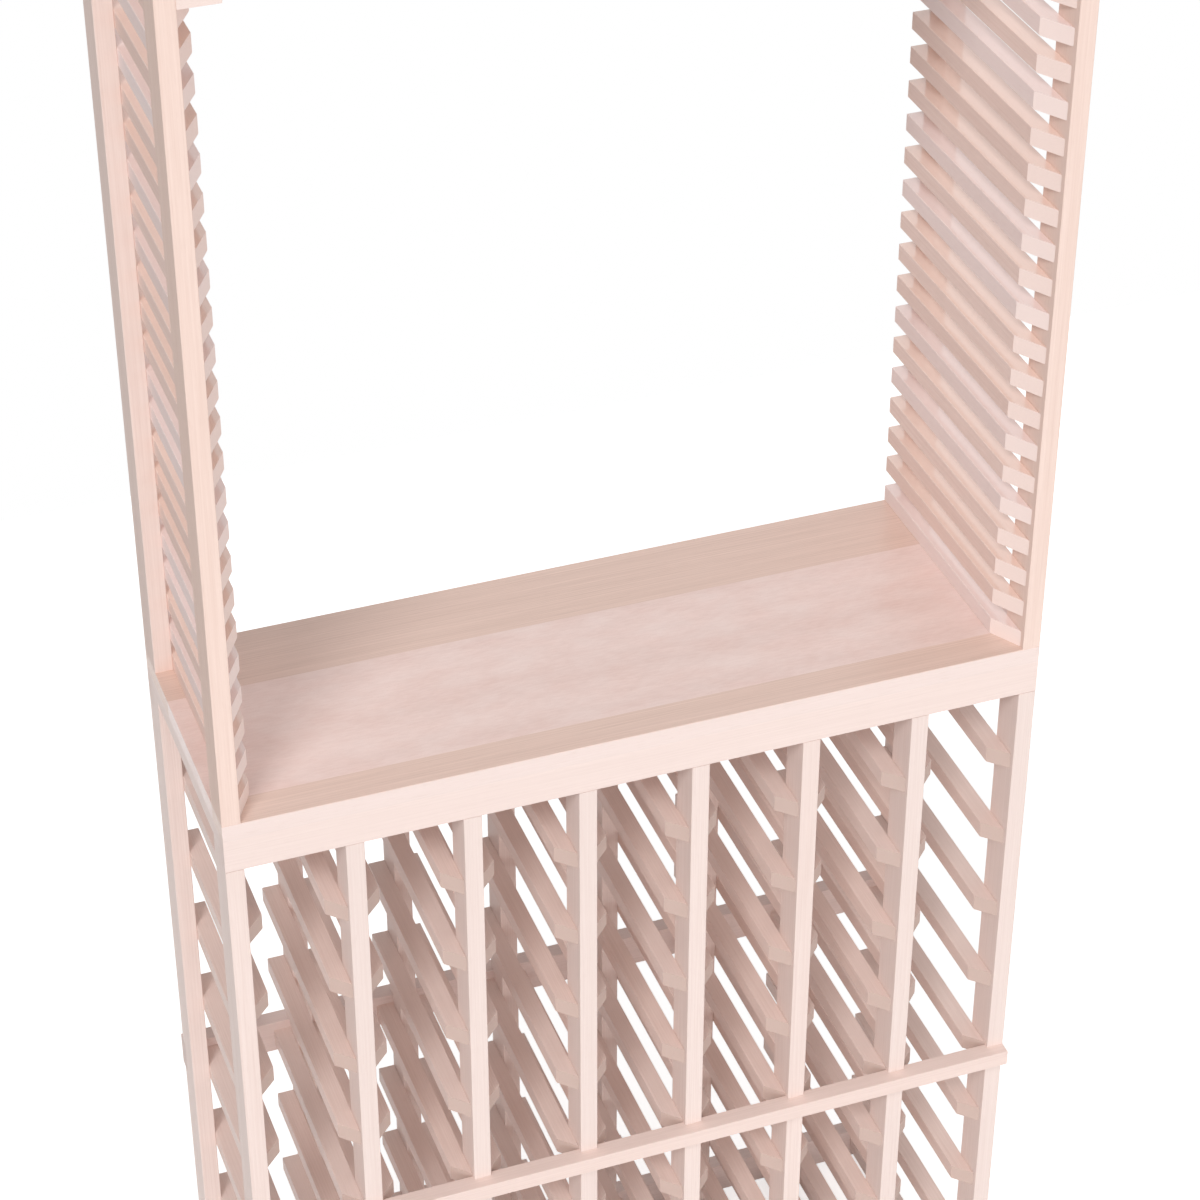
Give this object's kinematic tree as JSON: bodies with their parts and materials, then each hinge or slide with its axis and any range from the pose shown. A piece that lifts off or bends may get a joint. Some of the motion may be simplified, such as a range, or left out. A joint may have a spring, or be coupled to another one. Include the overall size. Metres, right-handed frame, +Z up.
{
  "type": "wine tasting station",
  "caption": "Open wooden wine rack with bottle columns, a counter-height table, slatted upper sides and a hanging stemware rack.",
  "frame": {"origin": "on the floor, under the middle of the whole station with its ledge bars and braces", "axes": "+X to the right seen from the front, +Y to the back, +Z up; the front faces -Y"},
  "size_m": [0.7952, 0.3028, 1.7907],
  "materials": {
    "upright_pine": "planed pine with a whitewash stain, satin",
    "rail_pine": "planed pine with a whitewash stain, satin",
    "board_pine": "planed pine with a whitewash stain, satin",
    "dowel_beech": "raw fluted beech",
    "brace_pine": "planed pine with a whitewash stain, satin",
    "screw_steel": "yellow zinc plated wood screw",
    "slat_pine": "planed pine with a whitewash stain, satin",
    "stemware_pine": "planed pine with a whitewash stain, satin",
    "table_strip_pine": "planed pine with a whitewash stain, satin",
    "panel_pine": "planed pine with a whitewash stain, satin",
    "post_pine": "planed pine with a whitewash stain, satin"
  },
  "bodies": {
    "root": {"base_front_upright_1": "upright_pine", "base_front_upright_2": "upright_pine", "base_front_upright_3": "upright_pine", "base_front_upright_4": "upright_pine", "base_front_upright_5": "upright_pine", "base_front_upright_6": "upright_pine", "base_front_upright_7": "upright_pine", "base_front_upright_8": "upright_pine", "base_rear_upright_1": "upright_pine", "base_rear_upright_2": "upright_pine", "base_rear_upright_3": "upright_pine", "base_rear_upright_4": "upright_pine", "base_rear_upright_5": "upright_pine", "base_rear_upright_6": "upright_pine", "base_rear_upright_7": "upright_pine", "base_rear_upright_8": "upright_pine", "column_1_left_rails": "rail_pine", "column_1_right_rails": "rail_pine", "column_2_left_rails": "rail_pine", "column_2_right_rails": "rail_pine", "column_3_left_rails": "rail_pine", "column_3_right_rails": "rail_pine", "column_4_left_rails": "rail_pine", "column_4_right_rails": "rail_pine", "column_5_left_rails": "rail_pine", "column_5_right_rails": "rail_pine", "column_6_left_rails": "rail_pine", "column_6_right_rails": "rail_pine", "column_7_left_rails": "rail_pine", "column_7_right_rails": "rail_pine", "front_ledge_bar_lower": "board_pine", "front_ledge_bar_upper": "board_pine", "post_dowels": "dowel_beech", "rear_brace_lower": "brace_pine", "rear_brace_screws": "screw_steel", "rear_brace_upper": "brace_pine", "side_slats_left": "slat_pine", "side_slats_right": "slat_pine", "stemware_inner_rails": "stemware_pine", "stemware_rail_screws": "screw_steel", "stemware_side_rail_left": "stemware_pine", "stemware_side_rail_right": "stemware_pine", "stemware_webs": "stemware_pine", "table_front_fascia": "board_pine", "table_front_strip": "table_strip_pine", "table_inner_bearers": "board_pine", "table_left_end_bearer": "board_pine", "table_panel": "panel_pine", "table_rear_fascia": "board_pine", "table_rear_strip": "table_strip_pine", "table_right_end_bearer": "board_pine", "top_front_rail": "board_pine", "top_panel": "panel_pine", "top_panel_screws": "screw_steel", "top_rear_rail": "board_pine", "upper_front_post_left": "post_pine", "upper_front_post_right": "post_pine", "upper_rear_post_left": "post_pine", "upper_rear_post_right": "post_pine"}
  },
  "joints": []
}
